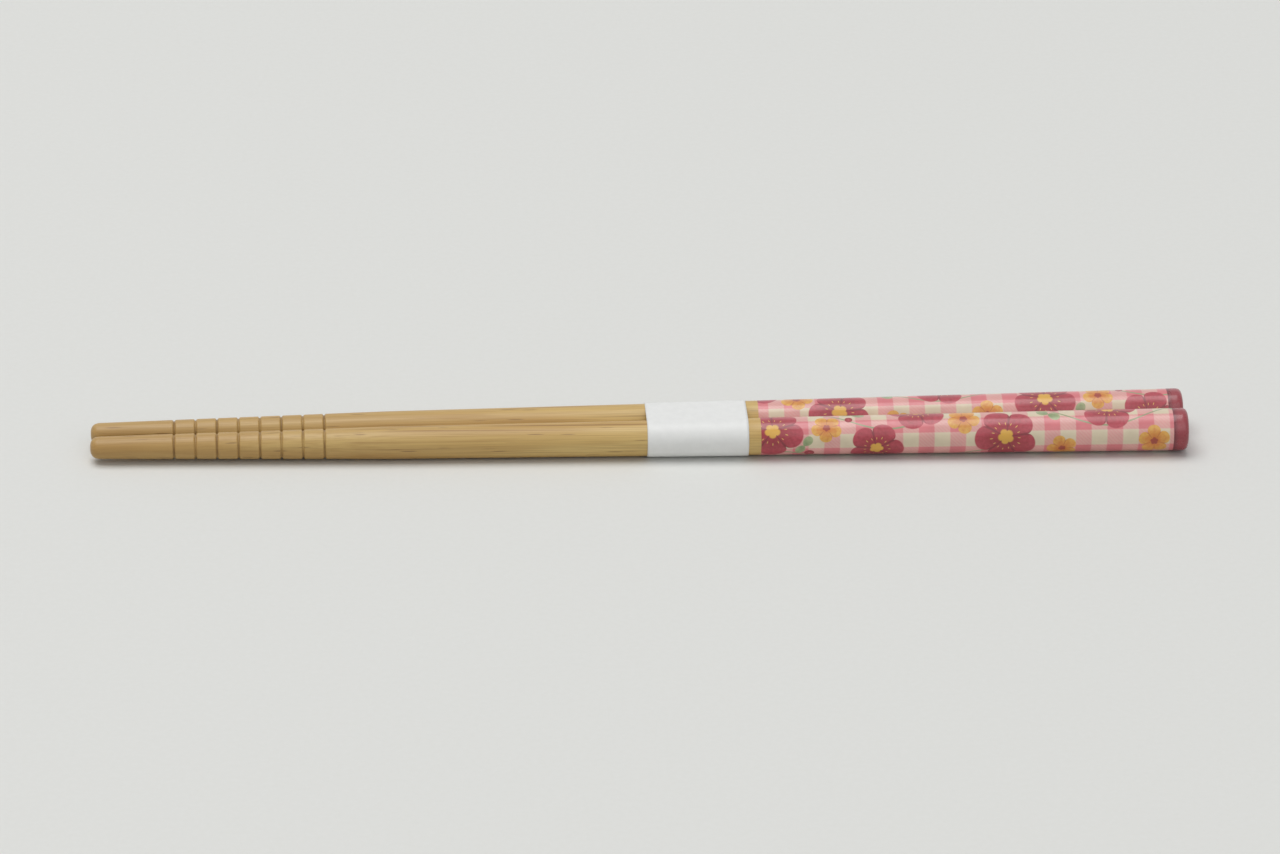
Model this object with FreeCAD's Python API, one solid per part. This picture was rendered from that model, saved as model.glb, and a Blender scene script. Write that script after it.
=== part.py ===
import FreeCAD, Part
import math
import os

# A pair of round bamboo chopsticks, lying side by side and tied by a paper band.
# Millimetres, +Z up. The tips point to -X and the handles to +X.
# The front stick lies at -Y and the back one at +Y. The pair rests on z = 0.

# Size of one stick
length = 195.0
tip_diameter = 4.0
waist_diameter = 5.85
waist_from_tip = 52.0
end_diameter = 7.65
tip_round = 1.7
end_round = 1.2

# V-shaped ring grooves that give the tip its grip
groove_count = 8
groove_from_tip = 14.8
groove_pitch = 3.8
groove_width = 0.7
groove_depth = 0.28

# Paper band round both sticks, measured from the tips
band_from_tip = 98.5
band_width = 18.0
band_wall = 0.15

# Clearances
stick_gap = 0.08
band_clearance = 0.04

# The thick part of a stick is a long cone. Its slope and its apex place the pair.
tip_slope = (waist_diameter - tip_diameter) / 2 / waist_from_tip
body_slope = (end_diameter - waist_diameter) / 2 / (length - waist_from_tip)
lean = math.sin(math.atan(body_slope))
apex_to_tip = end_diameter / 2 / body_slope - length
band_offset = band_wall + band_clearance


def radius_at(x):
    """Radius of the plain turned stick at a distance from its tip."""
    if x < waist_from_tip:
        return tip_diameter / 2 + tip_slope * x
    return waist_diameter / 2 + body_slope * (x - waist_from_tip)


def rounded_corner(x, edge_round):
    """Rounded corner of the profile, from the taper to the end face at x."""
    on_taper = FreeCAD.Vector(x - edge_round, radius_at(x - edge_round), 0)
    sharp = FreeCAD.Vector(x, radius_at(x), 0)
    on_face = FreeCAD.Vector(x, radius_at(x) - abs(edge_round), 0)
    curve = Part.BezierCurve()
    curve.setPoles([on_taper, sharp, on_face])
    return curve


def turned_stick():
    """One stick along +X with its tip at the origin, turned and then grooved."""
    tip_corner = rounded_corner(0.0, -tip_round)
    end_corner = rounded_corner(length, end_round)
    waist = FreeCAD.Vector(waist_from_tip, waist_diameter / 2, 0)
    tip_centre = FreeCAD.Vector(0, 0, 0)
    end_centre = FreeCAD.Vector(length, 0, 0)
    profile = Part.Wire([
        Part.makeLine(tip_centre, tip_corner.EndPoint),
        tip_corner.toShape(),
        Part.makeLine(tip_corner.StartPoint, waist),
        Part.makeLine(waist, end_corner.StartPoint),
        end_corner.toShape(),
        Part.makeLine(end_corner.EndPoint, end_centre),
        Part.makeLine(end_centre, tip_centre),
    ])
    along = FreeCAD.Vector(1, 0, 0)
    stick = Part.Face(profile).revolve(tip_centre, along, 360)
    for number in range(groove_count):
        x = groove_from_tip + number * groove_pitch
        bottom = radius_at(x) - groove_depth
        top = radius_at(x) + groove_depth
        notch = Part.makePolygon([
            FreeCAD.Vector(x, bottom, 0),
            FreeCAD.Vector(x + groove_width, top, 0),
            FreeCAD.Vector(x - groove_width, top, 0),
            FreeCAD.Vector(x, bottom, 0),
        ])
        stick = stick.cut(Part.Face(notch).revolve(tip_centre, along, 360))
    return stick


def laid_stick(stick, side):
    """The stick laid so that its thick part is flat on the band and along its neighbour."""
    along = FreeCAD.Vector(math.sqrt(1 - 2 * lean ** 2), side * lean, lean)
    apex = FreeCAD.Vector(-length / 2 - apex_to_tip * along.x, side * stick_gap / 2, band_offset)
    turn = FreeCAD.Rotation(FreeCAD.Vector(1, 0, 0), along)
    laid = stick.copy()
    laid.Placement = FreeCAD.Placement(apex + along * apex_to_tip, turn)
    return laid


def band_outline(offset):
    """Outline round both sticks at the band's thick end, this far outside them."""
    from_tip = band_from_tip + band_width
    x = from_tip - length / 2
    rise = (apex_to_tip + from_tip) * lean
    middle_y = stick_gap / 2 + rise
    middle_z = band_offset + rise
    reach = rise + offset
    front_low = FreeCAD.Vector(x, -middle_y, middle_z - reach)
    front_side = FreeCAD.Vector(x, -middle_y - reach, middle_z)
    front_high = FreeCAD.Vector(x, -middle_y, middle_z + reach)
    back_low = FreeCAD.Vector(x, middle_y, middle_z - reach)
    back_side = FreeCAD.Vector(x, middle_y + reach, middle_z)
    back_high = FreeCAD.Vector(x, middle_y, middle_z + reach)
    return Part.Wire([
        Part.makeLine(front_low, back_low),
        Part.Arc(back_low, back_side, back_high).toShape(),
        Part.makeLine(back_high, front_high),
        Part.Arc(front_high, front_side, front_low).toShape(),
    ])


def paper_band():
    """Straight band of even wall, snug on the sticks at its thick end and flat underneath."""
    section = Part.Face(band_outline(band_offset)).cut(Part.Face(band_outline(band_clearance)))
    return section.extrude(FreeCAD.Vector(-band_width, 0, 0)).Solids[0]


stick = turned_stick()
nodes = {
    "chopstick_front": laid_stick(stick, -1),
    "chopstick_back": laid_stick(stick, 1),
    "paper_band": paper_band(),
}

os.makedirs("parts", exist_ok=True)
for node, shape in nodes.items():
    shape.exportStep("parts/" + node + ".step")
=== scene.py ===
import math

import bpy
from mathutils import Matrix, Quaternion, Vector


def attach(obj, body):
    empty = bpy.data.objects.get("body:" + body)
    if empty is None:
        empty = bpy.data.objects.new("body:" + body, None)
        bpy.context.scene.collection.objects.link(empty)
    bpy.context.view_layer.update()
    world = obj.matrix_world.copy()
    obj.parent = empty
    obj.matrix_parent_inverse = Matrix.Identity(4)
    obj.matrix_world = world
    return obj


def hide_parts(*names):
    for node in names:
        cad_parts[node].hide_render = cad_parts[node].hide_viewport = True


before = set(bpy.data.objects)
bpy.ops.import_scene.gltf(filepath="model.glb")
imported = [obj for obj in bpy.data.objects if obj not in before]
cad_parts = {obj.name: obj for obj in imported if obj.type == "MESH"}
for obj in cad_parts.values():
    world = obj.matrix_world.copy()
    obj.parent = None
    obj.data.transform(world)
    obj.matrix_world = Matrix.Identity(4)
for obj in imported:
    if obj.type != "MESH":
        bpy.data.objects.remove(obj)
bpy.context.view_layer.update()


# The two chopsticks
# Each one is a single length of bamboo, turned round and tapered on a lathe. Eight ring grooves are
# cut behind the rounded tip, the handle is wrapped in a printed film, and its end is dipped in enamel.

# Sizes of the pieces and of their patterns are in millimetres, and the scene itself is in metres.
millimetre = 0.001
stick = {
    "Length": 195.0,
    "Tip diameter": 4.0,
    "Waist diameter": 5.85,
    "Waist from tip": 52.0,
    "End diameter": 7.65,
    "Tip round": 1.7,
    "End round": 1.2,
    "Groove count": 8.0,
    "Groove from tip": 14.8,
    "Groove pitch": 3.8,
    "Groove width": 0.7,
    "Groove depth": 0.28,
    "Coat allowance": 0.05,
    "Film from tip": 118.7,
    "Film edge": 0.08,
    "Film thickness": 0.025,
    "Enamel from tip": 192.2,
    "Enamel edge": 0.25,
    "Enamel thickness": 0.04,
    "Lip width": 1.0,
    "Facets": 96,
}


def linear(colour):
    """sRGB hex colour as linear red, green and blue, with an alpha of one."""
    levels = [int(colour[place:place + 2], 16) / 255 for place in (1, 3, 5)]
    return [v / 12.92 if v <= 0.04045 else ((v + 0.055) / 1.055) ** 2.4 for v in levels] + [1.0]


def add(tree, kind, links=None, **settings):
    """Adds a node with its settings, its values and its links, and gives back its outputs."""
    node = tree.nodes.new(kind)
    for name, value in settings.items():
        setattr(node, name, value)
    for place, value in (links or {}).items():
        if isinstance(value, bpy.types.NodeSocket):
            tree.links.new(value, node.inputs[place])
        else:
            node.inputs[place].default_value = value
    return node.outputs


def new_material(name):
    """An empty node material and its shader's inputs."""
    material = bpy.data.materials.new(name)
    material.use_nodes = True
    return material, material.node_tree, material.node_tree.nodes["Principled BSDF"].inputs


# Bamboo, turned, sanded and thinly lacquered. Bundles of fibre run along the stick about 0.8 mm apart,
# and the taper cuts through them at a very flat angle, so they show as long brown streaks between
# paler pith, denser towards the culm's rind. Short dark pores lie among them, and the wood is a little
# browner towards the tip. The grooves are drawn darker still, partly for their darker cut fibre and
# partly as painted shade in the recess, and the lacquer is satin.
# Single fibres are too fine to show, and are drawn as strands a quarter of a millimetre apart.
fibre_spacing = 0.24
fibre_length = 20.0
fibre_relief = 0.03
bundle_spacing = 0.8
bundle_length = 100.0
pore_spacing = 0.42
pore_length = 6.2
patch_width = 4.5
patch_length = 50.0
rind_width = 7.0
rind_length = 250.0
drift_width = 12.5
drift_length = 70.0
drift_reach = 3.0
groove_fibre_and_shade_size = 3.3
tip_tone_from = 90.0
tip_tone_to = 5.0
bamboo, tree, shader = new_material("lacquered_bamboo")
grain = add(tree, "ShaderNodeAttribute", attribute_name="grain")["Vector"]
groove = add(tree, "ShaderNodeAttribute", attribute_name="groove")["Fac"]

# The fibres don't run quite straight, so their place is shifted from side to side before it is used.
drift = add(tree, "ShaderNodeMapping", {
    0: grain, 3: (1 / drift_length, 1 / drift_width, 1 / drift_width),
})[0]
drift = add(tree, "ShaderNodeTexNoise", {0: drift, 2: 1.0, 3: 1.0})["Color"]
drift = add(tree, "ShaderNodeVectorMath", {0: drift, 1: (0.5, 0.5, 0.5)}, operation="SUBTRACT")[0]
wood = add(tree, "ShaderNodeVectorMath", {
    0: drift, 1: (0.0, drift_reach, drift_reach), 2: grain,
}, operation="MULTIPLY_ADD")[0]

patch = add(tree, "ShaderNodeMapping", {
    0: grain, 3: (1 / patch_length, 1 / patch_width, 1 / patch_width),
})[0]
patch = add(tree, "ShaderNodeTexNoise", {0: patch, 2: 1.0, 3: 2.0})[0]
patch = add(tree, "ShaderNodeMapRange", {0: patch, 1: 0.35, 2: 0.66})[0]
colour = add(tree, "ShaderNodeMix", {
    0: patch, 6: linear("#d2b471"), 7: linear("#bf9956"),
}, data_type="RGBA")[2]
from_tip = add(tree, "ShaderNodeSeparateXYZ", {0: grain})[0]
from_tip = add(tree, "ShaderNodeMapRange", {
    0: from_tip, 1: tip_tone_from, 2: tip_tone_to, 3: 0.0, 4: 0.6,
})[0]
colour = add(tree, "ShaderNodeMix", {0: from_tip, 6: colour, 7: linear("#a47d46")}, data_type="RGBA")[2]

fibre = add(tree, "ShaderNodeMapping", {
    0: wood, 3: (1 / fibre_length, 1 / fibre_spacing, 1 / fibre_spacing),
})[0]
fibre = add(tree, "ShaderNodeTexNoise", {0: fibre, 2: 1.0, 3: 3.0, 4: 0.6})[0]
fine = add(tree, "ShaderNodeMapRange", {0: fibre, 1: 0.42, 2: 0.72, 3: 0.0, 4: 0.6})[0]
colour = add(tree, "ShaderNodeMix", {0: fine, 6: colour, 7: linear("#a07a40")}, data_type="RGBA")[2]

rind = add(tree, "ShaderNodeMapping", {
    0: grain, 3: (1 / rind_length, 1 / rind_width, 1 / rind_width),
})[0]
rind = add(tree, "ShaderNodeTexNoise", {0: rind, 2: 1.0, 3: 1.0})[0]
rind = add(tree, "ShaderNodeMapRange", {0: rind, 1: 0.35, 2: 0.65, 3: 0.35, 4: 1.0})[0]
bundles = add(tree, "ShaderNodeMapping", {
    0: wood, 3: (1 / bundle_length, 1 / bundle_spacing, 1 / bundle_spacing),
})[0]
bundles = add(tree, "ShaderNodeTexVoronoi", {0: bundles, 2: 1.0})
chance = add(tree, "ShaderNodeSeparateColor", {0: bundles["Color"]})[0]
chance = add(tree, "ShaderNodeMapRange", {0: chance, 1: 0.15, 2: 0.85, 3: 0.1, 4: 1.0})[0]
streak = add(tree, "ShaderNodeMapRange", {0: bundles["Distance"], 1: 0.36, 2: 0.12})[0]
streak = add(tree, "ShaderNodeMath", {0: streak, 1: chance}, operation="MULTIPLY")[0]
streak = add(tree, "ShaderNodeMath", {0: streak, 1: rind}, operation="MULTIPLY")[0]
strength = add(tree, "ShaderNodeMath", {0: streak, 1: 0.75}, operation="MULTIPLY")[0]
colour = add(tree, "ShaderNodeMix", {0: strength, 6: colour, 7: linear("#845b29")}, data_type="RGBA")[2]

pores = add(tree, "ShaderNodeMapping", {
    0: wood, 3: (1 / pore_length, 1 / pore_spacing, 1 / pore_spacing),
})[0]
pores = add(tree, "ShaderNodeTexVoronoi", {0: pores, 2: 1.0})
chance = add(tree, "ShaderNodeSeparateColor", {0: pores["Color"]})[1]
chance = add(tree, "ShaderNodeMapRange", {0: chance, 1: 0.72, 2: 0.9})[0]
pore = add(tree, "ShaderNodeMapRange", {0: pores["Distance"], 1: 0.3, 2: 0.16})[0]
pore = add(tree, "ShaderNodeMath", {0: pore, 1: chance}, operation="MULTIPLY")[0]
strength = add(tree, "ShaderNodeMath", {0: pore, 1: 0.6}, operation="MULTIPLY")[0]
colour = add(tree, "ShaderNodeMix", {0: strength, 6: colour, 7: linear("#694524")}, data_type="RGBA")[2]

# Darkening in the grooves, in patches: partly the darker cut fibre, partly painted shade in the recess.
groove_fibre_and_shade = add(tree, "ShaderNodeTexNoise", {0: grain, 2: 1 / groove_fibre_and_shade_size, 3: 1.0})[0]
groove_fibre_and_shade = add(tree, "ShaderNodeMapRange", {0: groove_fibre_and_shade, 1: 0.35, 2: 0.65, 3: 0.3, 4: 0.8})[0]
strength = add(tree, "ShaderNodeMath", {0: groove, 1: 1.6}, operation="POWER")[0]
strength = add(tree, "ShaderNodeMath", {0: strength, 1: groove_fibre_and_shade}, operation="MULTIPLY")[0]
colour = add(tree, "ShaderNodeMix", {0: strength, 6: colour, 7: linear("#634321")}, data_type="RGBA")[2]
tree.links.new(colour, shader["Base Color"])
sheen = add(tree, "ShaderNodeMapRange", {0: fibre, 1: 0.3, 2: 0.8, 3: 0.38, 4: 0.54})[0]
tree.links.new(sheen, shader["Roughness"])
relief = add(tree, "ShaderNodeMath", {0: fibre, 1: pore}, operation="SUBTRACT")[0]
relief = add(tree, "ShaderNodeBump", {
    "Strength": 0.5, "Distance": fibre_relief * millimetre, "Height": relief,
})[0]
tree.links.new(relief, shader["Normal"])
shader["IOR"].default_value = 1.5
shader["Coat Weight"].default_value = 0.1
shader["Coat Roughness"].default_value = 0.28


# One motif of the handle's print: petals round a middle, drawn by distance and angle. It gives the
# distance as a share of the petal's edge, the place across the petal and the angle, of this motif or
# of the one before it in the chain, whichever is nearer.
motif = bpy.data.node_groups.new("motif", "ShaderNodeTree")
for name in ("Along", "Around"):
    motif.interface.new_socket(name, in_out="INPUT", socket_type="NodeSocketFloat")
motif.interface.new_socket("Nearest", in_out="INPUT", socket_type="NodeSocketVector")
for name in ("Centre along", "Centre around", "Radius", "Turn", "Petals", "Waist", "Slimness"):
    motif.interface.new_socket(name, in_out="INPUT", socket_type="NodeSocketFloat")
motif.interface.new_socket("Nearest", in_out="OUTPUT", socket_type="NodeSocketVector")
repeat_along = 78.4
repeat_around = 22.4
given = add(motif, "NodeGroupInput")
offsets = []
for place, repeat in (("along", repeat_along), ("around", repeat_around)):
    offset = add(motif, "ShaderNodeMath", {
        0: given[place.capitalize()], 1: given["Centre " + place],
    }, operation="SUBTRACT")[0]
    offset = add(motif, "ShaderNodeMath", {0: offset, 1: repeat / 2, 2: -repeat / 2}, operation="WRAP")[0]
    offsets.append(offset)
flat = add(motif, "ShaderNodeCombineXYZ", {0: offsets[0], 1: offsets[1]})[0]
reach = add(motif, "ShaderNodeVectorMath", {0: flat}, operation="LENGTH")["Value"]
angle = add(motif, "ShaderNodeMath", {0: offsets[1], 1: offsets[0]}, operation="ARCTAN2")[0]
angle = add(motif, "ShaderNodeMath", {0: angle, 1: given["Turn"]}, operation="ADD")[0]
half = add(motif, "ShaderNodeMath", {0: given["Petals"], 1: 0.5}, operation="MULTIPLY")[0]
petal = add(motif, "ShaderNodeMath", {0: angle, 1: half}, operation="MULTIPLY")[0]
petal = add(motif, "ShaderNodeMath", {0: petal}, operation="COSINE")[0]
petal = add(motif, "ShaderNodeMath", {0: petal}, operation="ABSOLUTE")[0]
lobe = add(motif, "ShaderNodeMath", {0: petal, 1: given["Slimness"]}, operation="POWER")[0]
lobe = add(motif, "ShaderNodeMapRange", {0: lobe, 3: given["Waist"], 4: 1.0})[0]
rim = add(motif, "ShaderNodeMath", {0: lobe, 1: given["Radius"]}, operation="MULTIPLY")[0]
share = add(motif, "ShaderNodeMath", {0: reach, 1: rim}, operation="DIVIDE")[0]
before = add(motif, "ShaderNodeSeparateXYZ", {0: given["Nearest"]})[0]
closer = add(motif, "ShaderNodeMath", {0: share, 1: before}, operation="LESS_THAN")[0]
this_one = add(motif, "ShaderNodeCombineXYZ", {0: share, 1: petal, 2: angle})[0]
chosen = add(motif, "ShaderNodeMix", {0: closer, 4: given["Nearest"], 5: this_one}, data_type="VECTOR")[1]
add(motif, "NodeGroupOutput", {0: chosen})

# The motifs of one repeat of the print, in a layout of its own. Each row gives the middle along and
# around the stick, the radius, the turn, the number of petals and the waist between them.
blossoms = [
    (9.0, -3.4, 5.7, 0.3, 5, 0.68),
    (17.5, 6.4, 4.5, 0.9, 5, 0.68),
    (27.5, -7.2, 5.0, 0.1, 5, 0.68),
    (35.0, 1.6, 5.4, 0.7, 5, 0.68),
    (50.5, -5.2, 5.7, 0.5, 5, 0.68),
    (56.0, 6.6, 4.8, 0.2, 5, 0.68),
    (69.0, 0.8, 5.2, 1.1, 5, 0.68),
]
small_blossoms = [
    (18.6, -3.0, 2.8, 0.4, 5, 0.62),
    (26.2, 3.4, 2.5, 0.8, 5, 0.62),
    (43.0, -1.6, 3.0, 0.2, 5, 0.62),
    (60.6, -7.8, 2.8, 0.6, 5, 0.62),
    (43.5, 8.6, 2.8, 0.0, 5, 0.62),
    (77.0, -6.4, 2.9, 0.9, 5, 0.62),
]
buds = [
    (1.2, 4.6, 0.8, 0.0, 1, 1.0),
    (15.6, -8.4, 0.9, 0.0, 1, 1.0),
    (22.6, -1.2, 0.7, 0.0, 1, 1.0),
    (31.2, 8.2, 0.9, 0.0, 1, 1.0),
    (40.6, 4.4, 0.8, 0.0, 1, 1.0),
    (59.4, 1.0, 0.8, 0.0, 1, 1.0),
    (63.6, 5.6, 0.9, 0.0, 1, 1.0),
    (75.6, 1.8, 0.7, 0.0, 1, 1.0),
]
leaves = [
    (1.6, 1.2, 2.4, 0.6, 2, 0.05),
    (14.6, -6.4, 2.2, 2.2, 2, 0.05),
    (23.2, 0.8, 2.4, 0.3, 2, 0.05),
    (31.4, 6.2, 2.2, 1.0, 2, 0.05),
    (42.0, 3.4, 2.4, 2.5, 2, 0.05),
    (58.2, -0.8, 2.3, 0.5, 2, 0.05),
    (62.0, 4.2, 2.1, 1.9, 2, 0.05),
    (75.0, 4.0, 2.3, 0.4, 2, 0.05),
]

# Polypropylene film, printed on its inner side and shrunk on. The ink is a rose gingham with sprigs of
# plum blossom, and its half-tone checks are hatched like the twill of the cloth, drawn about twice as
# coarse as it is. The clear film over the ink gives a smooth gloss with a faint ripple.
check_size = 2.8
hatch_pitch = 0.7
ink_blur = 0.09
smear_size = 0.6
ink_patch = 3.0
stem_width = 0.3
stem_blur = 0.05
stem_swing = 3.4
stamen_count = 15
stamen_share = 0.46
heart_share = 0.27
heart_blur = 0.05
nothing_near = (9.0, 0.0, 0.0)
ripple_length = 8.0
ripple_width = 2.0
ripple_height = 0.04
film, tree, shader = new_material("printed_film")
sheet = add(tree, "ShaderNodeUVMap", uv_map="sheet")[0]
place = add(tree, "ShaderNodeSeparateXYZ", {0: sheet})
along = place[0]
around = place[1]
smear = add(tree, "ShaderNodeTexNoise", {0: sheet, 2: 1 / smear_size, 3: 3.0})[0]
ink = add(tree, "ShaderNodeTexNoise", {0: sheet, 2: 1 / ink_patch, 3: 2.0})[0]
checks = []
for direction in (along, around):
    wave = add(tree, "ShaderNodeMath", {0: direction, 1: check_size}, operation="PINGPONG")[0]
    checks.append(add(tree, "ShaderNodeMapRange", {
        0: wave, 1: check_size / 2 - ink_blur, 2: check_size / 2 + ink_blur, 3: 0.0, 4: 0.5,
    })[0])
shade = add(tree, "ShaderNodeMath", {0: checks[0], 1: checks[1]}, operation="ADD")[0]
twill = add(tree, "ShaderNodeMath", {0: along, 1: around}, operation="ADD")[0]
twill = add(tree, "ShaderNodeMath", {0: twill, 1: 2 * math.pi / hatch_pitch}, operation="MULTIPLY")[0]
twill = add(tree, "ShaderNodeMath", {0: twill}, operation="SINE")[0]
half_tone = add(tree, "ShaderNodeMath", {0: shade, 1: 0.5, 2: 0.3}, operation="COMPARE")[0]
twill = add(tree, "ShaderNodeMath", {0: twill, 1: half_tone}, operation="MULTIPLY")[0]
shade = add(tree, "ShaderNodeMath", {0: twill, 1: 0.07, 2: shade}, operation="MULTIPLY_ADD")[0]
light = add(tree, "ShaderNodeMapRange", {0: shade, 1: 0.0, 2: 0.5})[0]
deep = add(tree, "ShaderNodeMapRange", {0: shade, 1: 0.5, 2: 1.0})[0]
printed = add(tree, "ShaderNodeMix", {
    0: light, 6: linear("#d6c7ab"), 7: linear("#da9f99"),
}, data_type="RGBA")[2]
printed = add(tree, "ShaderNodeMix", {0: deep, 6: printed, 7: linear("#d37479")}, data_type="RGBA")[2]

wander = add(tree, "ShaderNodeMath", {0: along, 1: 4 * math.pi / repeat_along}, operation="MULTIPLY")[0]
wander = add(tree, "ShaderNodeMath", {0: wander}, operation="SINE")[0]
wander = add(tree, "ShaderNodeMath", {0: wander, 1: stem_swing}, operation="MULTIPLY")[0]
stem = add(tree, "ShaderNodeMath", {0: around, 1: wander}, operation="SUBTRACT")[0]
stem = add(tree, "ShaderNodeMath", {0: stem, 1: repeat_around / 4}, operation="PINGPONG")[0]
stem = add(tree, "ShaderNodeMapRange", {
    0: stem, 1: stem_width / 2 + stem_blur, 2: stem_width / 2 - stem_blur,
})[0]
printed = add(tree, "ShaderNodeMix", {0: stem, 6: printed, 7: linear("#8f9a72")}, data_type="RGBA")[2]

# Each kind of motif has its slimness and its inks: inner, outer, crease, middle and stamens.
sprig_looks = (
    (leaves, 2.2, "#7f8d62", "#a3ac80", "#8a976c", "#8a976c", None),
    (buds, 0.5, "#a8323f", "#93262f", "#93262f", "#b8505a", None),
    (small_blossoms, 0.5, "#cb7428", "#dca74c", "#b96628", "#9f3c26", None),
    (blossoms, 0.5, "#94242f", "#b23d4b", "#751d27", "#d9a63f", "#e2ba60"),
)
for group, slimness, inner, outer, crease, middle, stamens in sprig_looks:
    nearest = nothing_near
    for centre_along, centre_around, radius, turn, petals, waist in group:
        nearest = add(tree, "ShaderNodeGroup", {
            "Along": along, "Around": around, "Nearest": nearest,
            "Centre along": centre_along, "Centre around": centre_around,
            "Radius": radius, "Turn": turn, "Petals": petals, "Waist": waist, "Slimness": slimness,
        }, node_tree=motif)[0]
    nearest = add(tree, "ShaderNodeSeparateXYZ", {0: nearest})
    share = nearest[0]
    wash = add(tree, "ShaderNodeMath", {0: share, 1: smear}, operation="MULTIPLY")[0]
    wash = add(tree, "ShaderNodeMapRange", {0: wash, 1: 0.1, 2: 0.5})[0]
    tint = add(tree, "ShaderNodeMix", {0: wash, 6: linear(inner), 7: linear(outer)}, data_type="RGBA")[2]
    fold = add(tree, "ShaderNodeMapRange", {0: nearest[1], 1: 0.26, 2: 0.06, 3: 0.0, 4: 0.85})[0]
    tint = add(tree, "ShaderNodeMix", {0: fold, 6: tint, 7: linear(crease)}, data_type="RGBA")[2]
    if stamens:
        spoke = add(tree, "ShaderNodeMath", {0: nearest[2], 1: stamen_count / 2}, operation="MULTIPLY")[0]
        spoke = add(tree, "ShaderNodeMath", {0: spoke}, operation="SINE")[0]
        spoke = add(tree, "ShaderNodeMath", {0: spoke, 1: share}, operation="MULTIPLY")[0]
        beyond = add(tree, "ShaderNodeMath", {0: share, 1: stamen_share}, operation="SUBTRACT")[0]
        anther = add(tree, "ShaderNodeCombineXYZ", {0: spoke, 1: beyond})[0]
        anther = add(tree, "ShaderNodeVectorMath", {0: anther, 1: (0.5, 1.0, 1.0)}, operation="MULTIPLY")[0]
        anther = add(tree, "ShaderNodeVectorMath", {0: anther}, operation="LENGTH")["Value"]
        anther = add(tree, "ShaderNodeMapRange", {0: anther, 1: 0.06, 2: 0.035})[0]
        tint = add(tree, "ShaderNodeMix", {0: anther, 6: tint, 7: linear(stamens)}, data_type="RGBA")[2]
    heart = add(tree, "ShaderNodeMapRange", {0: share, 1: heart_share, 2: heart_share - heart_blur})[0]
    tint = add(tree, "ShaderNodeMix", {0: heart, 6: tint, 7: linear(middle)}, data_type="RGBA")[2]
    inside = add(tree, "ShaderNodeMapRange", {0: share, 1: 1.0, 2: 0.965})[0]
    printed = add(tree, "ShaderNodeMix", {0: inside, 6: printed, 7: tint}, data_type="RGBA")[2]
uneven = add(tree, "ShaderNodeMapRange", {0: ink, 1: 0.3, 2: 0.7, 3: 0.94, 4: 1.05})[0]
printed = add(tree, "ShaderNodeVectorMath", {0: printed, "Scale": uneven}, operation="SCALE")[0]
tree.links.new(printed, shader["Base Color"])
gloss = add(tree, "ShaderNodeMapRange", {0: smear, 1: 0.3, 2: 0.7, 3: 0.3, 4: 0.4})[0]
tree.links.new(gloss, shader["Roughness"])
ripple = add(tree, "ShaderNodeMapping", {0: sheet, 3: (1 / ripple_length, 1 / ripple_width, 1.0)})[0]
ripple = add(tree, "ShaderNodeTexNoise", {0: ripple, 2: 1.0, 3: 2.0})[0]
ripple = add(tree, "ShaderNodeBump", {
    "Strength": 0.4, "Distance": ripple_height * millimetre, "Height": ripple,
})[0]
tree.links.new(ripple, shader["Normal"])
shader["IOR"].default_value = 1.49
shader["Coat Weight"].default_value = 0.4
shader["Coat Roughness"].default_value = 0.14


# Crimson enamel, dipped and air dried. It gathers in a darker lip where the dip ends, and it dries
# with a very fine orange peel.
cloud_size = 1.25
peel_size = 0.25
peel_height = 0.03
enamel, tree, shader = new_material("crimson_enamel")
grain = add(tree, "ShaderNodeAttribute", attribute_name="grain")["Vector"]
lip = add(tree, "ShaderNodeAttribute", attribute_name="lip")["Fac"]
cloud = add(tree, "ShaderNodeTexNoise", {0: grain, 2: 1 / cloud_size, 3: 3.0})[0]
peel = add(tree, "ShaderNodeTexNoise", {0: grain, 2: 1 / peel_size, 3: 1.0})[0]
tone = add(tree, "ShaderNodeMapRange", {0: cloud, 1: 0.35, 2: 0.65})[0]
colour = add(tree, "ShaderNodeMix", {
    0: tone, 6: linear("#98363f"), 7: linear("#90313a"),
}, data_type="RGBA")[2]
strength = add(tree, "ShaderNodeMath", {0: lip, 1: 0.85}, operation="MULTIPLY")[0]
colour = add(tree, "ShaderNodeMix", {0: strength, 6: colour, 7: linear("#661b25")}, data_type="RGBA")[2]
tree.links.new(colour, shader["Base Color"])
gloss = add(tree, "ShaderNodeMapRange", {0: cloud, 1: 0.3, 2: 0.7, 3: 0.24, 4: 0.34})[0]
tree.links.new(gloss, shader["Roughness"])
peel = add(tree, "ShaderNodeBump", {
    "Strength": 0.35, "Distance": peel_height * millimetre, "Height": peel,
})[0]
tree.links.new(peel, shader["Normal"])
shader["IOR"].default_value = 1.5
shader["Coat Weight"].default_value = 0.3
shader["Coat Roughness"].default_value = 0.1


# The turned shape. Rows run from the middle of the tip face along the stick to the middle of the end
# face, close together in the grooves. The radius follows from the distance along the stick.
turning = bpy.data.node_groups.new("turned_stick", "GeometryNodeTree")
turning.interface.new_socket("Geometry", in_out="OUTPUT", socket_type="NodeSocketGeometry")
sockets = {}
for name in (*stick, "Seam", "Print shift", "Print turn", "Grain shift"):
    kind = {"Facets": "NodeSocketInt", "Grain shift": "NodeSocketVector"}.get(name, "NodeSocketFloat")
    sockets[name] = turning.interface.new_socket(name, in_out="INPUT", socket_type=kind).identifier
given = add(turning, "NodeGroupInput")
merge_distance = 0.0005
face_rows = 6
corner_rows = 16
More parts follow.
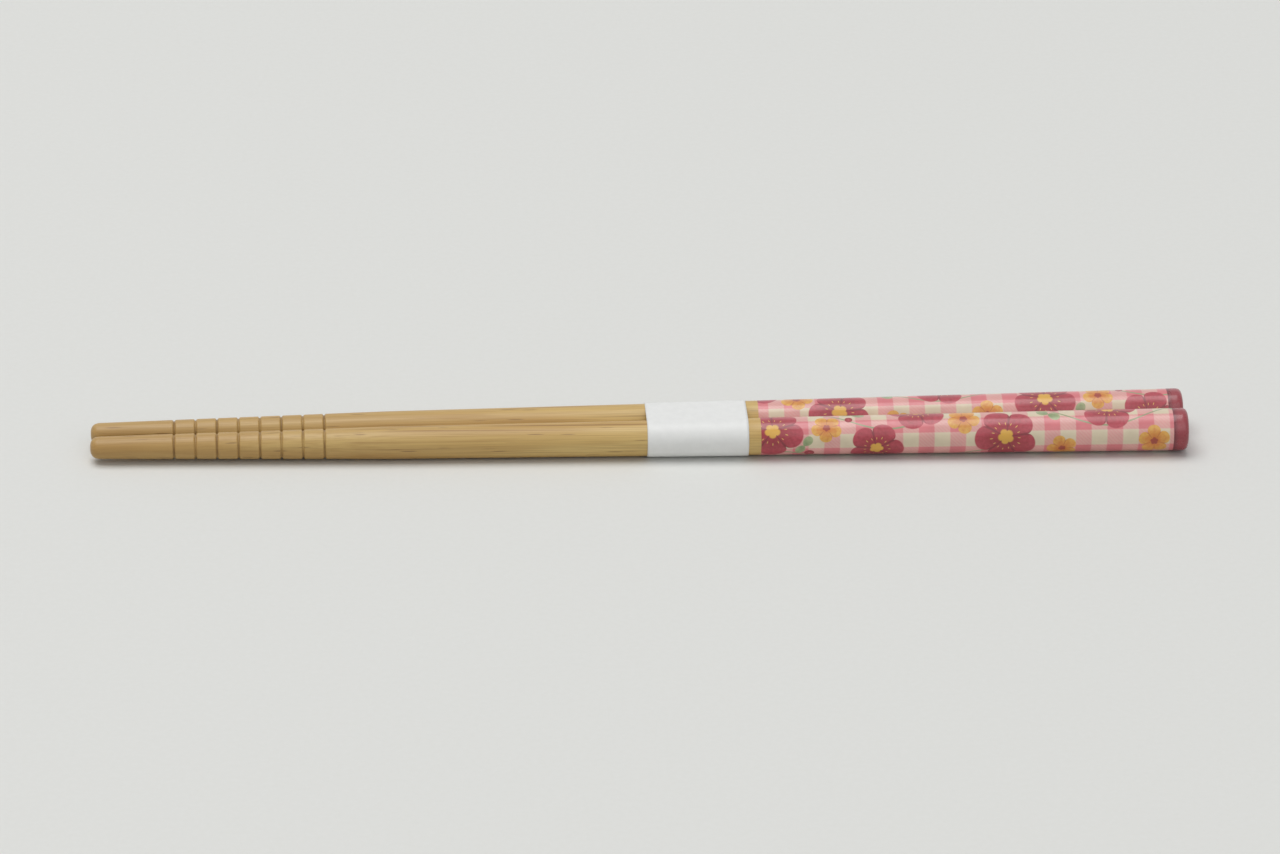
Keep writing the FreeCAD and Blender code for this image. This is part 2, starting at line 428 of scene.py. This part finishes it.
# Rows of the tip, the grip, the bare body, the film's edge, the film, the enamel's edge and the
# enamel, between the rows of the two rounded corners.
zone_rows = (14, 340, 44, 5, 42, 8, 5)
rows = 2 * face_rows + 2 * corner_rows + sum(zone_rows)
around_count = add(turning, "ShaderNodeMath", {0: given["Facets"], 1: 1.0}, operation="ADD")[0]
shape = add(turning, "GeometryNodeMeshGrid", {
    "Size X": float(rows), "Size Y": 1.0, "Vertices X": rows + 1, "Vertices Y": around_count,
})[0]
spot = add(turning, "ShaderNodeSeparateXYZ", {0: add(turning, "GeometryNodeInputPosition")[0]})
row = add(turning, "ShaderNodeMath", {0: spot[0], 1: rows / 2}, operation="ADD")[0]

# Distance from the tip, zone by zone: each zone starts from what the one before it gave. A rounded
# corner is part of a parabola, and its rows lie closer together towards its face.
grip_start = add(turning, "ShaderNodeMath", {
    0: given["Groove from tip"], 1: given["Groove width"],
}, operation="SUBTRACT")[0]
last_groove = add(turning, "ShaderNodeMath", {0: given["Groove count"], 1: 1.0}, operation="SUBTRACT")[0]
grip_end = add(turning, "ShaderNodeMath", {
    0: last_groove, 1: given["Groove pitch"], 2: given["Groove from tip"],
}, operation="MULTIPLY_ADD")[0]
grip_end = add(turning, "ShaderNodeMath", {0: grip_end, 1: given["Groove width"]}, operation="ADD")[0]
film_top = add(turning, "ShaderNodeMath", {
    0: given["Film from tip"], 1: given["Film edge"],
}, operation="ADD")[0]
enamel_top = add(turning, "ShaderNodeMath", {
    0: given["Enamel from tip"], 1: given["Enamel edge"],
}, operation="ADD")[0]
end_start = add(turning, "ShaderNodeMath", {
    0: given["Length"], 1: given["End round"],
}, operation="SUBTRACT")[0]
first = face_rows
step = add(turning, "ShaderNodeMapRange", {0: row, 1: first, 2: first + corner_rows})[0]
step = add(turning, "ShaderNodeMath", {0: step, 1: 2.0}, operation="POWER")[0]
x = add(turning, "ShaderNodeMath", {0: step, 1: given["Tip round"]}, operation="MULTIPLY")[0]
first += corner_rows
ends = (
    grip_start, grip_end, given["Film from tip"], film_top, given["Enamel from tip"], enamel_top, end_start,
)
for count, end in zip(zone_rows, ends):
    x = add(turning, "ShaderNodeMapRange", {0: row, 1: first, 2: first + count, 3: x, 4: end})[0]
    first += count
step = add(turning, "ShaderNodeMapRange", {0: row, 1: first, 2: first + corner_rows, 3: 1.0, 4: 0.0})[0]
step = add(turning, "ShaderNodeMath", {0: step, 1: 2.0}, operation="POWER")[0]
x = add(turning, "ShaderNodeMapRange", {0: step, 1: 1.0, 2: 0.0, 3: x, 4: given["Length"]})[0]

# Radius: the two tapers, the rounded corners, the grooves, and the thin coats on the handle.
radii = {}
for name in ("Tip diameter", "Waist diameter", "End diameter"):
    radii[name] = add(turning, "ShaderNodeMath", {0: given[name], 1: 0.5}, operation="MULTIPLY")[0]
radius = add(turning, "ShaderNodeMapRange", {
    0: x, 1: 0.0, 2: given["Waist from tip"], 3: radii["Tip diameter"], 4: radii["Waist diameter"],
})[0]
radius = add(turning, "ShaderNodeMapRange", {
    0: x, 1: given["Waist from tip"], 2: given["Length"], 3: radius, 4: radii["End diameter"],
})[0]
tip_share = add(turning, "ShaderNodeMapRange", {0: x, 1: 0.0, 2: given["Tip round"]})[0]
end_share = add(turning, "ShaderNodeMapRange", {0: x, 1: given["Length"], 2: end_start})[0]
for corner_share, size in ((tip_share, given["Tip round"]), (end_share, given["End round"])):
    drop = add(turning, "ShaderNodeMath", {0: corner_share, 1: 0.5}, operation="POWER")[0]
    drop = add(turning, "ShaderNodeMath", {0: 1.0, 1: drop}, operation="SUBTRACT")[0]
    drop = add(turning, "ShaderNodeMath", {0: drop, 1: 2.0}, operation="POWER")[0]
    drop = add(turning, "ShaderNodeMath", {0: drop, 1: size}, operation="MULTIPLY")[0]
    radius = add(turning, "ShaderNodeMath", {0: radius, 1: drop}, operation="SUBTRACT")[0]
from_first = add(turning, "ShaderNodeMath", {0: x, 1: given["Groove from tip"]}, operation="SUBTRACT")[0]
number = add(turning, "ShaderNodeMath", {0: from_first, 1: given["Groove pitch"]}, operation="DIVIDE")[0]
number = add(turning, "ShaderNodeMath", {0: number}, operation="ROUND")[0]
number = add(turning, "ShaderNodeMath", {0: number, 1: 0.0}, operation="MAXIMUM")[0]
number = add(turning, "ShaderNodeMath", {0: number, 1: last_groove}, operation="MINIMUM")[0]
centre = add(turning, "ShaderNodeMath", {0: number, 1: given["Groove pitch"]}, operation="MULTIPLY")[0]
away = add(turning, "ShaderNodeMath", {0: from_first, 1: centre}, operation="SUBTRACT")[0]
away = add(turning, "ShaderNodeMath", {0: away}, operation="ABSOLUTE")[0]
half_width = add(turning, "ShaderNodeMath", {0: given["Groove width"], 1: 0.5}, operation="MULTIPLY")[0]
groove_cut = add(turning, "ShaderNodeMapRange", {
    0: away, 1: 0.0, 2: half_width, 3: 1.0, 4: 0.0,
}, interpolation_type="SMOOTHSTEP")[0]
drop = add(turning, "ShaderNodeMath", {0: groove_cut, 1: given["Groove depth"]}, operation="MULTIPLY")[0]
radius = add(turning, "ShaderNodeMath", {0: radius, 1: drop}, operation="SUBTRACT")[0]
coat = add(turning, "ShaderNodeMapRange", {
    0: x, 1: given["Film from tip"], 2: film_top, 3: 0.0, 4: given["Film thickness"],
})[0]
coat = add(turning, "ShaderNodeMapRange", {
    0: x, 1: given["Enamel from tip"], 2: enamel_top, 3: coat, 4: given["Enamel thickness"],
})[0]
coat = add(turning, "ShaderNodeMath", {0: coat, 1: given["Coat allowance"]}, operation="SUBTRACT")[0]
radius = add(turning, "ShaderNodeMath", {0: radius, 1: coat}, operation="ADD")[0]
for outer_row, inner_row in ((0, face_rows), (rows, rows - face_rows)):
    face = add(turning, "ShaderNodeMapRange", {0: row, 1: float(outer_row), 2: float(inner_row)})[0]
    radius = add(turning, "ShaderNodeMath", {0: radius, 1: face}, operation="MULTIPLY")[0]

# Wrapped round the axis. Each point keeps its place in the wood and on the printed sheet, and how far
# it is into a groove or into the enamel's lip.
turn_share = add(turning, "ShaderNodeMath", {0: spot[1], 1: given["Seam"]}, operation="ADD")[0]
angle = add(turning, "ShaderNodeMath", {0: turn_share, 1: 2 * math.pi}, operation="MULTIPLY")[0]
side = add(turning, "ShaderNodeMath", {0: angle}, operation="SINE")[0]
side = add(turning, "ShaderNodeMath", {0: side, 1: radius}, operation="MULTIPLY")[0]
height = add(turning, "ShaderNodeMath", {0: angle}, operation="COSINE")[0]
height = add(turning, "ShaderNodeMath", {0: height, 1: radius}, operation="MULTIPLY")[0]
turned = add(turning, "ShaderNodeCombineXYZ", {0: x, 1: side, 2: height})[0]
wood = add(turning, "ShaderNodeVectorMath", {0: turned, 1: given["Grain shift"]}, operation="ADD")[0]
sheet_x = add(turning, "ShaderNodeMath", {0: x, 1: given["Film from tip"]}, operation="SUBTRACT")[0]
sheet_x = add(turning, "ShaderNodeMath", {0: sheet_x, 1: given["Print shift"]}, operation="ADD")[0]
sheet_y = add(turning, "ShaderNodeMath", {0: turn_share, 1: given["Print turn"]}, operation="SUBTRACT")[0]
sheet_y = add(turning, "ShaderNodeMath", {0: sheet_y, 1: repeat_around}, operation="MULTIPLY")[0]
on_sheet = add(turning, "ShaderNodeCombineXYZ", {0: sheet_x, 1: sheet_y})[0]
lip_end = add(turning, "ShaderNodeMath", {
    0: given["Enamel from tip"], 1: given["Lip width"],
}, operation="ADD")[0]
lip = add(turning, "ShaderNodeMapRange", {
    0: x, 1: lip_end, 2: given["Enamel from tip"],
}, interpolation_type="SMOOTHSTEP")[0]
for name, value, kind, domain in (
    ("grain", wood, "FLOAT_VECTOR", "POINT"),
    ("groove", groove_cut, "FLOAT", "POINT"),
    ("lip", lip, "FLOAT", "POINT"),
    ("sheet", on_sheet, "FLOAT2", "CORNER"),
):
    shape = add(turning, "GeometryNodeStoreNamedAttribute", {
        "Geometry": shape, "Name": name, "Value": value,
    }, data_type=kind, domain=domain)[0]
in_metres = add(turning, "ShaderNodeVectorMath", {0: turned, "Scale": millimetre}, operation="SCALE")[0]
shape = add(turning, "GeometryNodeSetPosition", {"Geometry": shape, "Position": in_metres})[0]
shape = add(turning, "GeometryNodeMergeByDistance", {
    "Geometry": shape, "Distance": merge_distance * millimetre,
})[0]
shape = add(turning, "GeometryNodeSetShadeSmooth", {"Geometry": shape})[0]
shape = add(turning, "GeometryNodeRealizeInstances", {"Geometry": shape})[0]
shape = add(turning, "GeometryNodeSetMaterial", {"Geometry": shape, "Material": bamboo})[0]
place = add(turning, "ShaderNodeSeparateXYZ", {0: add(turning, "GeometryNodeInputPosition")[0]})[0]
for start, material in ((given["Film from tip"], film), (given["Enamel from tip"], enamel)):
    start = add(turning, "ShaderNodeMath", {0: start, 1: millimetre}, operation="MULTIPLY")[0]
    covered = add(turning, "FunctionNodeCompare", {
        0: place, 1: start,
    }, data_type="FLOAT", operation="GREATER_THAN")[0]
    shape = add(turning, "GeometryNodeSetMaterial", {
        "Geometry": shape, "Selection": covered, "Material": material,
    })[0]
add(turning, "NodeGroupOutput", {0: shape})

# Both sticks lie on the thick part of their taper, flat on the band and along each other.
stick_gap = 0.08
band_offset = 0.19
body_length = stick["Length"] - stick["Waist from tip"]
body_slope = (stick["End diameter"] - stick["Waist diameter"]) / 2 / body_length
lean = math.sin(math.atan(body_slope))
apex_to_tip = stick["End diameter"] / 2 / body_slope - stick["Length"]
for place, way, chosen in (
    ("front", -1, {"Seam": 0.88, "Print shift": 7.0, "Print turn": 0.02, "Grain shift": (0.0, 31.0, 12.0)}),
    ("back", 1, {"Seam": 0.12, "Print shift": 36.0, "Print turn": 0.1, "Grain shift": (0.0, 3.0, 57.0)}),
):
    raw = bpy.data.objects.new("raw_stick", bpy.data.meshes.new("raw_stick"))
    bpy.context.scene.collection.objects.link(raw)
    modifier = raw.modifiers.new("turned_stick", "NODES")
    modifier.node_group = turning
    for name, value in {**stick, **chosen}.items():
        modifier[sockets[name]] = value
    bpy.context.view_layer.update()
    mesh = bpy.data.meshes.new_from_object(raw.evaluated_get(bpy.context.evaluated_depsgraph_get()))
    bpy.data.objects.remove(raw)
    axis = Vector((math.sqrt(1 - 2 * lean ** 2), way * lean, lean))
    apex = Vector((-stick["Length"] / 2 - apex_to_tip * axis.x, way * stick_gap / 2, band_offset))
    tip = (apex + axis * apex_to_tip) * millimetre
    leaned = Vector((1, 0, 0)).rotation_difference(axis).to_matrix().to_4x4()
    mesh.transform(Matrix.Translation(tip) @ leaned)
    piece = bpy.data.objects.new("turned_chopstick_" + place, mesh)
    bpy.context.scene.collection.objects.link(piece)
    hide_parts("chopstick_" + place)
    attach(piece, "root")


# The band
# A strip of thin coated paper is pulled tight round both sticks and glued to itself underneath, with
# its end lapped over its start. It follows the taper of the sticks and spans the valley between them.
band_from_tip = 98.5
band_width = 18.0
paper_thickness = 0.07
lap = 6.0
lap_step = 0.4
lap_margin = 0.05
valley_sag = 0.1
edge_hold = 0.6
edge_sharpness = 6

# How far outside the sticks the middle of the paper runs, and where it laps over itself.
inner_offset = 0.065
outer_offset = 0.145

# White coated paper: the clay coat is smooth and even, with a soft sheen, and only a faint cloudiness
# and felt of the sheet show through it.
sheet_cloud_size = 1.4
felt_size = 0.2
felt_height = 0.01
paper, tree, shader = new_material("coated_paper")
spot = add(tree, "ShaderNodeTexCoord")["Object"]
spot = add(tree, "ShaderNodeMapping", {0: spot, 3: (1 / millimetre, 1 / millimetre, 1 / millimetre)})[0]
cloud = add(tree, "ShaderNodeTexNoise", {0: spot, 2: 1 / sheet_cloud_size, 3: 4.0, 4: 0.6})[0]
felt = add(tree, "ShaderNodeTexNoise", {0: spot, 2: 1 / felt_size, 3: 3.0})[0]
tone = add(tree, "ShaderNodeMapRange", {0: cloud, 1: 0.35, 2: 0.65})[0]
colour = add(tree, "ShaderNodeMix", {
    0: tone, 6: linear("#e7e7e5"), 7: linear("#e3e3e1"),
}, data_type="RGBA")[2]
tree.links.new(colour, shader["Base Color"])
sheen = add(tree, "ShaderNodeMapRange", {0: felt, 1: 0.3, 2: 0.7, 3: 0.4, 4: 0.5})[0]
tree.links.new(sheen, shader["Roughness"])
felt = add(tree, "ShaderNodeBump", {
    "Strength": 0.2, "Distance": felt_height * millimetre, "Height": felt,
})[0]
tree.links.new(felt, shader["Normal"])
shader["IOR"].default_value = 1.5

# One line of points round the sticks for each column along the band. It starts under the lap, goes
# round the front stick, over the valley and round the back stick, and steps down to lie on its start.
# The paper sags a little over the valley, and less at its two edges, which are stiffer.
columns = 36
lap_rows = 24
arc_rows = 60
top_rows = 24
points = []
for column in range(columns + 1):
    from_tip = band_from_tip + band_width * column / columns
    rise = (apex_to_tip + from_tip) * lean
    middle_y = stick_gap / 2 + rise
    middle_z = band_offset + rise
    reach = rise + inner_offset
    edge = abs(2 * column / columns - 1) ** edge_sharpness
    line = []
    for number in range(lap_rows):
        y = lap / 2 + (-middle_y - lap / 2) * number / lap_rows
        line.append((y, middle_z - reach))
    for number in range(arc_rows):
        turn = -math.pi / 2 - math.pi * number / arc_rows
        line.append((-middle_y + reach * math.cos(turn), middle_z + reach * math.sin(turn)))
    for number in range(top_rows):
        across = 2 * number / top_rows - 1
        sag = valley_sag * (1 - across ** 2) ** 2 * (1 - edge_hold * edge)
        line.append((middle_y * across, middle_z + reach - sag))
    for number in range(arc_rows):
        turn = math.pi / 2 - math.pi * number / arc_rows
        line.append((middle_y + reach * math.cos(turn), middle_z + reach * math.sin(turn)))
    for number in range(2 * lap_rows + 1):
        y = middle_y + (-lap / 2 - middle_y) * number / (2 * lap_rows)
        share = min(max((lap / 2 + lap_margin + lap_step - y) / lap_step, 0.0), 1.0)
        ramp = share * share * (3 - 2 * share)
        line.append((y, middle_z - reach - (outer_offset - inner_offset) * ramp))
    x = from_tip - stick["Length"] / 2
    points.append([(x * millimetre, y * millimetre, z * millimetre) for y, z in line])
line_points = len(points[0])
vertices = [point for line in points for point in line]
faces = []
for column in range(columns):
    for number in range(line_points - 1):
        here = column * line_points + number
        faces.append((here, here + line_points, here + line_points + 1, here + 1))
mesh = bpy.data.meshes.new("wrapped_band")
mesh.from_pydata(vertices, [], faces)
mesh.materials.append(paper)
mesh.shade_smooth()
raw = bpy.data.objects.new("raw_band", mesh)
bpy.context.scene.collection.objects.link(raw)
thicken = raw.modifiers.new("paper", "SOLIDIFY")
thicken.thickness = paper_thickness * millimetre
thicken.offset = 0.0
thicken.use_even_offset = True
bpy.context.view_layer.update()
solid_mesh = bpy.data.meshes.new_from_object(raw.evaluated_get(bpy.context.evaluated_depsgraph_get()))
bpy.data.objects.remove(raw)
band = bpy.data.objects.new("wrapped_band", solid_mesh)
bpy.context.scene.collection.objects.link(band)
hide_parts("paper_band")
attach(band, "root")


# Floor, lamps and camera
# The pair lies on a plain pale floor under one large soft lamp above it, with a weak one in front.
# The camera looks down at it from the front, a little from the side of the tips. Here every size is
# in metres, apart from the floor's specks.
floor_reach = 3.0
speck_size = 1.1
ground_look, tree, shader = new_material("pale_floor")
spot = add(tree, "ShaderNodeTexCoord")["Object"]
speck = add(tree, "ShaderNodeTexNoise", {0: spot, 2: 1 / (speck_size * millimetre), 3: 3.0})[0]
colour = add(tree, "ShaderNodeMix", {
    0: speck, 6: linear("#dcdcd8"), 7: linear("#e0e0dd"),
}, data_type="RGBA")[2]
tree.links.new(colour, shader["Base Color"])
shader["Roughness"].default_value = 0.8
floor_mesh = bpy.data.meshes.new("floor")
corners = [(-1, -1), (1, -1), (1, 1), (-1, 1)]
floor_mesh.from_pydata([(x * floor_reach, y * floor_reach, 0) for x, y in corners], [], [(0, 1, 2, 3)])
floor_mesh.materials.append(ground_look)
floor = bpy.data.objects.new("floor", floor_mesh)
bpy.context.scene.collection.objects.link(floor)

# The room gives a weak even light, and shows as white itself where it is seen or mirrored.
room_light = 0.36
world = bpy.data.worlds.new("studio")
world.use_nodes = True
bpy.context.scene.world = world
room = world.node_tree.nodes["Background"].inputs
rays = add(world.node_tree, "ShaderNodeLightPath")
shown = add(world.node_tree, "ShaderNodeMath", {
    0: rays["Is Camera Ray"], 1: rays["Is Glossy Ray"],
}, operation="MAXIMUM")[0]
shown = add(world.node_tree, "ShaderNodeMath", {
    0: shown, 1: rays["Is Transmission Ray"],
}, operation="MAXIMUM")[0]
strength = add(world.node_tree, "ShaderNodeMapRange", {0: shown, 3: room_light, 4: 1.0})[0]
world.node_tree.links.new(strength, room["Strength"])
room["Color"].default_value = linear("#f2f4f5")

for name, place, size, power in (
    ("key_softbox", (-0.6, 0.15, 3.0), 2.4, 64.0),
    ("front_softbox", (1.2, -2.7, 2.4), 2.7, 19.0),
):
    lamp = bpy.data.lights.new(name, "AREA")
    lamp.shape = "SQUARE"
    lamp.size = size
    lamp.energy = power
    holder = bpy.data.objects.new(name, lamp)
    holder.location = place
    holder.rotation_euler = (-Vector(place)).to_track_quat("-Z", "Y").to_euler()
    bpy.context.scene.collection.objects.link(holder)

camera_distance = 1.12
aim_height = 0.004
camera_data = bpy.data.cameras.new("camera")
camera_data.lens = 177.0
camera_data.clip_end = 10.0
camera = bpy.data.objects.new("camera", camera_data)
elevation = math.radians(27.1)
swing = math.radians(3.8)
forward = Vector((
    math.sin(swing) * math.cos(elevation),
    math.cos(swing) * math.cos(elevation),
    -math.sin(elevation),
))
roll = Quaternion((0, 0, 1), math.radians(0.9))
camera.rotation_euler = (forward.to_track_quat("-Z", "Y") @ roll).to_euler()
camera.location = Vector((0, 0, aim_height)) - forward * camera_distance
bpy.context.scene.collection.objects.link(camera)
bpy.context.scene.camera = camera
bpy.context.scene.view_settings.view_transform = "Standard"
